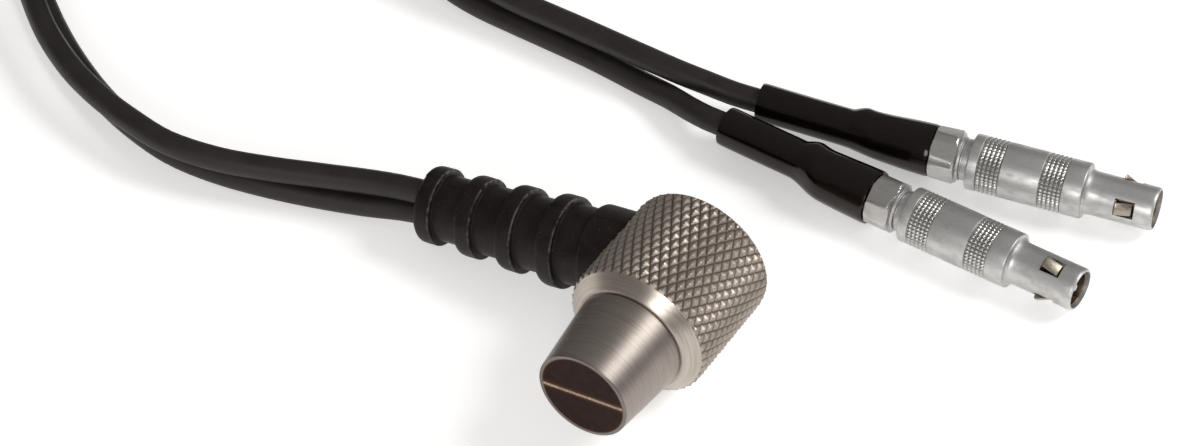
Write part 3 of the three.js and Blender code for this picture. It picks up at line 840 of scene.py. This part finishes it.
def barrier_look():
    """A thin cork sheet whose front edge is slightly ragged."""
    bm = bmesh.new()
    columns = 90
    half_width = 4.9
    depth = 16.4
    front_half = 0.165
    rows = {}
    for column in range(columns + 1):
        across = -half_width + 2 * half_width * column / columns
        wave = 0.02 * noise.noise(Vector((across * 2.1, 3.7, 0)))
        for side in (-1, 1):
            ragged = 0.025 * noise.noise(Vector((across * 3.3, side * 5.1, 1)))
            height = side * front_half + wave + ragged
            rows[column, side, 0] = bm.verts.new((FACE * MM, across * MM, height * MM))
            rows[column, side, 1] = bm.verts.new((
                (FACE + depth) * MM, across * MM, side * BARRIER_HALF * MM))
    for column in range(columns):
        corners = [(-1, 0), (1, 0), (1, 1), (-1, 1)]
        for (s1, e1), (s2, e2) in zip(corners, corners[1:] + corners[:1]):
            bm.faces.new((rows[column, s1, e1], rows[column, s2, e2],
                          rows[column + 1, s2, e2], rows[column + 1, s1, e1]))
    for column in (0, columns):
        bm.faces.new([rows[column, s, e] for s, e in ((-1, 0), (1, 0), (1, 1), (-1, 1))])
    return piece("acoustic_barrier_look", bm, [BARRIER], HEAD_PLACE, "probe",
                 ["acoustic_barrier"])


# Each rib's middle station and its radius.
BOOT_RIBS = [(14.62, 5.03), (19.82, 4.68), (25.02, 4.43), (30.22, 4.23)]
BOOT_GROOVE = 0.65


def boot_look():
    """A ribbed boot. Its ribs are crisp toward the head and rounded toward the
    cables. One mould half stands proud of the other."""
    half = 1.05
    root_back, root_r = 6.2, 5.1
    collar_end, collar_r = 10.4, 5.12
    waist_start, waist_r = 10.7, 4.32
    tip, tip_r = 31.27, 2.6
    highlight_reach = 0.13
    profile = [(root_back, 0), (root_back, root_r), (collar_end, collar_r, 0.5),
               (waist_start, waist_r, 0.3)]
    for index, (centre, radius) in enumerate(BOOT_RIBS):
        profile.append((centre - half, radius - BOOT_GROOVE, 0.12))
        profile.append((centre - half, radius, 0.14))
        profile.append((centre - half + 0.26, radius))
        profile.append((centre + half, radius - 0.02, 0.75))
        if index + 1 < len(BOOT_RIBS):
            profile.append((centre + half + 0.1, BOOT_RIBS[index + 1][1] - BOOT_GROOVE, 0.35))
    profile.append((tip, tip_r, 0.6))
    profile.append((tip, 0))
    parting = radians(91)
    parting_step = 0.15
    ripple_depth = 0.03

    def parted(along, radius, angle):
        offset = math.remainder(angle - parting, TURN)
        raised = parting_step if 0 < offset < pi else 0.0
        return radius + raised + ripple_depth * noise_round_x(along * 0.8, angle, 2)

    bm = bmesh.new()
    add_turned(bm, softened(profile, steps=5), segments=200, radius_at=parted)
    # Marks the rib edges toward the head, where the rubber gets a painted highlight.
    edge_highlight = bm.verts.layers.float.new("edge_highlight")
    for vert in bm.verts:
        along = vert.co.x / MM
        radius = math.hypot(vert.co.y, vert.co.z) / MM
        for centre, crest in BOOT_RIBS:
            from_corner = math.hypot(along - (centre - half), radius - crest - 0.05)
            vert[edge_highlight] = max(vert[edge_highlight], math.exp(-(from_corner / highlight_reach) ** 2))
        vert.co.x += BOOT_LEAN * vert.co.z
    return piece("strain_relief_look", bm, [BOOT_RUBBER], BOOT_PLACE, "probe",
                 ["strain_relief"], sharp=50)


# ---- plug pieces

NOSE_R = 2.45
NOSE_BORE = 2.15
SHELL_BORE = 2.55
WINDOW = (3.6, 5.9)
WINDOW_HALF = radians(24)
REAR_BAND = (-SHELL_LENGTH + 1.15, -SHELL_LENGTH + 3.85)
FRONT_BAND = (-SHELL_LENGTH + 8.3, -SHELL_LENGTH + 11.0)
SHELL_R = 3.18
PLAIN_R = 3.16
KNURL_DEPTH = 0.17
KNURL_PITCH = 0.46
KNURL_AROUND = 42


def in_window(along, angle):
    """True where a latch window opens the nose. Angle 90 degrees is local +Z."""
    if not WINDOW[0] < along < WINDOW[1]:
        return False
    nearest = math.remainder(angle - pi / 2, TURN / 3)
    return abs(nearest) < WINDOW_HALF


def add_nose(bm):
    """The thin nose tube with three windows left open in its wall."""
    outer = [(0.3, 2.56), (0.5, 2.49), (0.8, NOSE_R), (2.2, NOSE_R), (WINDOW[0], NOSE_R),
             (4.7, NOSE_R), (WINDOW[1], NOSE_R), (6.9, NOSE_R), (7.65, NOSE_R), (7.85, 2.42),
             (7.96, 2.36), (8.0, 2.28)]
    segments = 120
    rings = {}
    for wall in ("outer", "inner"):
        for index, (along, radius) in enumerate(outer):
            r = radius if wall == "outer" else NOSE_BORE
            for segment in range(segments):
                angle = TURN * segment / segments
                rings[wall, index, segment] = bm.verts.new(round_x(along, r, angle))

    def solid(index, segment):
        if not 0 <= index < len(outer) - 1:
            return False
        middle = (outer[index][0] + outer[index + 1][0]) / 2
        return not in_window(middle, TURN * ((segment % segments) + 0.5) / segments)

    for index in range(len(outer) - 1):
        for segment in range(segments):
            if not solid(index, segment):
                continue
            following = (segment + 1) % segments
            corners = [(index, segment), (index, following),
                       (index + 1, following), (index + 1, segment)]
            for wall in ("outer", "inner"):
                bm.faces.new([rings[wall, i, s] for i, s in corners])
            sides = [((index, segment), (index, following), solid(index - 1, segment)),
                     ((index + 1, segment), (index + 1, following), solid(index + 1, segment)),
                     ((index, segment), (index + 1, segment), solid(index, segment - 1)),
                     ((index, following), (index + 1, following), solid(index, segment + 1))]
            for first, second, covered in sides:
                if not covered:
                    bm.faces.new((rings["outer", *first], rings["outer", *second],
                                  rings["inner", *second], rings["inner", *first]))


def shell_look(label, place):
    """The release shell: a grip with two knurled bands, and the nose it carries."""
    bm = bmesh.new()
    under_knurl = SHELL_R - KNURL_DEPTH - 0.02
    shoulder = 0.1
    collar_end = 0.35
    bore_step = -1.2
    grip = [(-SHELL_LENGTH, SHELL_BORE), (-SHELL_LENGTH, PLAIN_R, 0.18)]
    for start, end in (REAR_BAND, FRONT_BAND):
        grip += [(start, PLAIN_R, 0.03), (start + shoulder, under_knurl),
                 (end - shoulder, under_knurl), (end, PLAIN_R, 0.03)]
    grip += [(0, PLAIN_R, 0.16), (0.02, 2.75, 0.2), (collar_end, 2.5), (collar_end, NOSE_BORE),
             (bore_step, NOSE_BORE), (bore_step, SHELL_BORE)]
    add_turned(bm, softened(grip), segments=180, closed=True)
    for start, end in (REAR_BAND, FRONT_BAND):
        add_cross_knurl(bm, start + shoulder, end - shoulder, SHELL_R, KNURL_DEPTH,
                        KNURL_AROUND, material=1)
    add_nose(bm)
    return piece(f"{label}_release_shell_look", bm, [NICKEL, PLUG_KNURL], place,
                 f"{label}_shell", [f"{label}_plug_release_shell"], sharp=28)


def neck_look(label, place):
    """The tube inside the shell. Its flange and groove show between shell and nut."""
    bm = bmesh.new()
    back = NECK_END
    wire_bore_r = 1.0
    flange_r = 2.85
    collar_r = 2.45
    groove_r = 2.12
    neck_r = 2.36
    latch_bore_r = 2.15
    profile = softened([
        (back, wire_bore_r), (back, flange_r), (back + 0.14, collar_r, 0.05),
        (back + 0.42, collar_r, 0.05), (back + 0.46, groove_r), (back + 0.6, groove_r),
        (back + 0.66, neck_r, 0.05), (NECK_FRONT, neck_r), (NECK_FRONT, latch_bore_r),
        (BULKHEAD, latch_bore_r), (BULKHEAD, wire_bore_r),
    ])
    add_turned(bm, profile, segments=120, closed=True)
    return piece(f"{label}_neck_look", bm, [NICKEL], place, "probe",
                 [f"{label}_plug_neck"])


def nut_look(label, place, turn):
    """A hexagonal collet nut with turned chamfers at both ends."""
    bm = bmesh.new()
    front = NECK_END
    back = NUT_END
    apothem = 2.8
    chamfer = 0.5
    chamfer_steps = 6
    end_r = 2.78
    chamfer_rise = 0.42
    back_corner_r = 2.93
    corner_taper = 0.14
    bore_r = 2.0
    bore_depth = 0.4

    def hexagonal(along, radius, angle):
        if radius <= bore_r:
            return radius
        offset = math.remainder(angle - turn, pi / 3)
        flat = apothem / cos(offset)
        ease = min(along - back, front - along) / chamfer
        rounded = back_corner_r + corner_taper * (along - back) / (front - back)
        return min(flat, rounded, end_r + chamfer_rise * max(ease, 0) ** 0.8)

    rises = [chamfer * k / chamfer_steps for k in range(chamfer_steps + 1)]
    stations = [back + rise for rise in rises] + [front - rise for rise in reversed(rises)]
    profile = [(back, 0), (back, bore_r)]
    profile += [(along, end_r + chamfer_rise) for along in stations]
    profile += [(front, bore_r), (front - bore_depth, bore_r), (front - bore_depth, 0)]
    add_turned(bm, profile, segments=240, radius_at=hexagonal)
    return piece(f"{label}_collet_nut_look", bm, [NUT_NICKEL], place, "probe",
                 [f"{label}_plug_collet_nut"], sharp=20)


def bell(distance, reach):
    """1 at no distance and fading to nothing beyond the reach."""
    return math.exp(-(distance / reach) ** 2)


def eased(value, start, end):
    """0 before start, 1 after end and a smooth rise between."""
    t = max(0, min(1, (value - start) / (end - start)))
    return t * t * (3 - 2 * t)


def shrink_look(label, place, shape):
    """Heat-shrink drawn down over a crimp. It widens where the crimp begins:
    gently underneath, and sharply along its top, between a crease and a hump.
    The places of all three are measured from the sleeve's front end."""
    bm = bmesh.new()
    front = NUT_END - 0.05
    back = sleeve_back(label) / MM
    length = front - back
    crease_at, crease_depth, crease_reach = -9.8, 0.05, 0.4
    hump_at, hump_reach = -8.5, 0.8
    folds_at, folds_depth, folds_reach = -8, 0.07, 2.8
    waver_depth = 0.035
    upward = place.to_3x3().inverted() @ Vector((0, 0.6, 0.8))
    top = math.atan2(upward.z, upward.y)
    seed = shape["seed"]

    def drawn(along, radius, angle):
        if radius < 1.5:
            return radius
        before = along - front
        over = (1 + cos(angle - top)) / 2
        rise_start = -11.0 + 0.6 * over
        rise_end = -5.2 - 2.8 * over
        rise = eased(before, rise_start, rise_end)
        taper = shape["step_r"] + (shape["nut_r"] - shape["step_r"]) * eased(before, -7.7, 0)
        wide = shape["cable_r"] + (taper - shape["cable_r"]) * rise
        hump = shape["hump"] * over ** 3 * bell(before - hump_at, hump_reach)
        crease = crease_depth * over ** 6 * bell(before - crease_at, crease_reach)
        waver = waver_depth * noise_round_x(before * 0.07 + seed, angle, 1.6)
        near = bell(before - folds_at, folds_reach)
        waver += folds_depth * near * noise_round_x(before * 0.45 + seed, angle, 2.4)
        end = 0.05 * eased(-along, -back - 0.4, -back) + 0.06 * eased(before, -0.3, 0)
        return wide + hump - crease + waver - end

    rows = 110
    stations = [(back, CABLE_D / 2 / MM)]
    stations += [(back + length * row / rows, shape["cable_r"]) for row in range(rows + 1)]
    stations += [(front, 0)]
    add_turned(bm, [Vector(station) for station in stations], segments=120, radius_at=drawn)
    sideways = place.to_3x3().inverted() @ Vector((0, 1, 0))
    for vert in bm.verts:
        t = max(0, min(1, (front - vert.co.x / MM) / length))
        shift = shape["bend"] * t * t + shape["offset"] * eased(t, 0.3, 0.52)
        vert.co += sideways * shift * MM
    return piece(f"{label}_heat_shrink_look", bm, [SHRINK], place, "probe",
                 [f"{label}_plug_heat_shrink"], sharp=60)


def shield_look(label, place):
    """The screen contact: a stem with a cup at its front, round the pin."""
    bm = bmesh.new()
    bore_r = 1.0
    stem_r = 1.2
    cup_r = 2.06
    cup_bore_r = 1.86
    stem_back = -2.6
    cup_back = 5.9
    cup_floor = 6.3
    cup_front = 7.6
    profile = softened([
        (stem_back, bore_r), (stem_back, stem_r), (cup_back, stem_r), (cup_back, cup_r),
        (cup_front, cup_r, 0.05), (cup_front, cup_bore_r, 0.05),
        (cup_floor, cup_bore_r), (cup_floor, bore_r, 0.05),
    ])
    add_turned(bm, profile, segments=120, closed=True)
    return piece(f"{label}_shield_tube_look", bm, [BRASS], place, "probe",
                 [f"{label}_plug_shield_tube"])


def latch_look(label, place, number):
    """A springy finger under the nose with a wedge that fills its window:
    steep at the rear, sloping to flush at the front."""
    bm = bmesh.new()
    finger_r = 2.05
    outer = [(PLUG_HINGE_STATION, finger_r), (3.72, finger_r), (3.76, 2.8), (3.82, 2.9),
             (3.95, 2.9), (5.55, 2.16), (5.6, 2.1), (5.62, 1.85)]
    inner_r = 1.8
    wedge_half_width = 0.74
    finger_half_angle = radians(18)
    columns = 14
    middle = pi / 2 + (number - 1) * TURN / 3
    rows = []
    for along, radius in outer:
        on_wedge = radius > finger_r
        half = math.asin(wedge_half_width / radius) if on_wedge else finger_half_angle
        row = []
        for column in range(columns + 1):
            angle = middle + half * (2 * column / columns - 1)
            direction = Vector((0, cos(angle), sin(angle)))
            at_side = column in (0, columns) and radius > NOSE_R
            r = radius - 0.03 if at_side else radius
            station = Vector((along * MM, 0, 0))
            row.append((bm.verts.new(station + direction * r * MM),
                        bm.verts.new(station + direction * inner_r * MM)))
        rows.append(row)
    for low, high in zip(rows, rows[1:]):
        for column in range(columns):
            for side in (0, 1):
                bm.faces.new((low[column][side], low[column + 1][side],
                              high[column + 1][side], high[column][side]))
        for column in (0, columns):
            bm.faces.new((low[column][0], high[column][0], high[column][1], low[column][1]))
    for row in (rows[0], rows[-1]):
        for column in range(columns):
            bm.faces.new((row[column][0], row[column + 1][0], row[column + 1][1], row[column][1]))
    return piece(f"{label}_latch_{number}_look", bm, [LATCH], place, f"{label}_latch_{number}",
                 [f"{label}_plug_latch_{number}"], sharp=25)


def pin_look(label, place):
    """The centre contact, with a rounded tip just inside the mouth."""
    bm = bmesh.new()
    pin_r = 0.45
    profile = softened(
        [(PIN_BACK, 0), (PIN_BACK, pin_r), (7.45, pin_r, 0.35), (7.5, 0)], steps=6)
    add_turned(bm, profile, segments=48)
    return piece(f"{label}_centre_pin_look", bm, [NICKEL], place, "probe",
                 [f"{label}_plug_centre_pin"])


# A sleeve's length, its radius over the cable, past the step and at the nut, how
# far it bends and shifts sideways, its hump's height and its noise's starting place.
SLEEVES = {
    "rear": {"length": 20.6, "cable_r": 2.15, "step_r": 2.62, "nut_r": 2.97, "bend": 0.6,
             "offset": 0.0, "hump": 0.07, "seed": 3.1},
    "front": {"length": 19.6, "cable_r": 2.24, "step_r": 2.92, "nut_r": 3.1, "bend": 0.2,
              "offset": 0.5, "hump": 0.04, "seed": 8.7},
}


def plug(label, nut_turn):
    """All of one plug. Returns its pieces, with its two repainted CAD nodes by name."""
    place = plug_place(label)
    pieces = [
        shell_look(label, place),
        neck_look(label, place),
        nut_look(label, place, nut_turn),
        shrink_look(label, place, SLEEVES[label]),
        shield_look(label, place),
        pin_look(label, place),
    ]
    repaint(f"{label}_plug_latch_ring", LATCH)
    repaint(f"{label}_plug_insulator", INSULATOR)
    pieces += [latch_look(label, place, number) for number in (1, 2, 3)]
    return pieces + [f"{label}_plug_latch_ring", f"{label}_plug_insulator"]


def tie_look():
    """A soft strap once round both coils: a flat band bent round a rounded box."""
    low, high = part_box("coil_tie")
    centre = (low + high) / 2
    thickness = 0.5 * MM
    half_width = 2 * MM
    bend_r = 1.2 * MM
    half_y = (high.y - low.y) / 2
    half_z = (high.z - low.z) / 2
    reach_y = half_y - bend_r
    reach_z = half_z - bend_r
    bm = bmesh.new()
    loops = []
    sections = 64
    for section in range(sections):
        angle = TURN * section / sections
        direction = Vector((0, cos(angle), sin(angle)))
        scale = 1 / max(abs(direction.y) / half_y, abs(direction.z) / half_z)
        on_box = direction * scale
        core = Vector((0, max(-reach_y, min(reach_y, on_box.y)),
                       max(-reach_z, min(reach_z, on_box.z))))
        normal = (on_box - core).normalized()
        outer = core + normal * bend_r
        inner = core + normal * (bend_r - thickness)
        loops.append([bm.verts.new(centre + point + Vector((x, 0, 0)))
                      for point, x in ((outer, -half_width), (outer, half_width),
                                       (inner, half_width), (inner, -half_width))])
    for first, second in zip(loops, loops[1:] + loops[:1]):
        for side in range(4):
            following = (side + 1) % 4
            bm.faces.new((first[side], first[following], second[following], second[side]))
    return piece("coil_tie_look", bm, [STRAP], Matrix(), "probe", ["coil_tie"], sharp=50)


# ---- floor and light


def add_stage():
    bm = bmesh.new()
    bmesh.ops.create_grid(bm, x_segments=2, y_segments=2, size=3)
    mesh = bpy.data.meshes.new("floor")
    bm.to_mesh(mesh)
    bm.free()
    mesh.materials.append(table_paper("table_paper"))
    floor = add_object("floor", mesh)


def add_light(name, direction, distance, size, power):
    data = bpy.data.lights.new(name, "AREA")
    data.shape = "RECTANGLE"
    data.size, data.size_y = size
    data.energy = power
    light = add_object(name, data)
    toward = Vector(direction).normalized()
    light.location = VIEW_TARGET + distance * toward
    light.rotation_euler = toward.to_track_quat("Z", "Y").to_euler()


def add_world():
    """A dim studio: dark at the horizon, mid grey overhead."""
    world = bpy.data.worlds.new("studio")
    world.use_nodes = True
    nodes = world.node_tree.nodes
    links = world.node_tree.links
    place = nodes.new("ShaderNodeTexCoord")
    split = nodes.new("ShaderNodeSeparateXYZ")
    ramp = nodes.new("ShaderNodeValToRGB")
    low, high = ramp.color_ramp.elements
    low.position, low.color = 0.05, (0.15, 0.145, 0.14, 1)
    high.position, high.color = 0.9, (0.34, 0.33, 0.32, 1)
    links.new(place.outputs["Generated"], split.inputs["Vector"])
    links.new(split.outputs["Z"], ramp.inputs["Fac"])
    links.new(ramp.outputs["Color"], nodes["Background"].inputs["Color"])
    bpy.context.scene.world = world


def add_lights():
    add_light("back_right", (0.58, 0.43, 0.70), 0.75, (0.3, 0.3), 3.1)
    add_light("front", (0.26, -0.84, 0.47), 0.7, (0.22, 0.3), 1.6)


# ---- assembly

add_camera()
lead_a, length_a = lead("lead_a", LEAD_A_FROM_BOOT, "lead_a_coil", LEAD_A_TO_PLUG, "rear",
                        ["lead_a_from_boot", "lead_a_coil", "lead_a_to_plug"])
lead_b, length_b = lead("lead_b", LEAD_B_FROM_BOOT, "lead_b_coil", LEAD_B_TO_PLUG, "front",
                        ["lead_b_from_boot", "lead_b_coil", "lead_b_to_plug"])

housing_look()
nose_look()
back_cap_look()
delay_line_look("transmit", 1)
delay_line_look("receive", -1)
barrier_look()
boot = boot_look()
for side_label in ("transmit", "receive"):
    repaint(f"crystal_{side_label}", CERAMIC)
    repaint(f"backing_{side_label}", BACKING)
rear_pieces = plug("rear", radians(0))
front_pieces = plug("front", radians(30))
tie = tie_look()

add_stage()
add_world()
add_lights()
bpy.context.scene.view_settings.view_transform = "Standard"
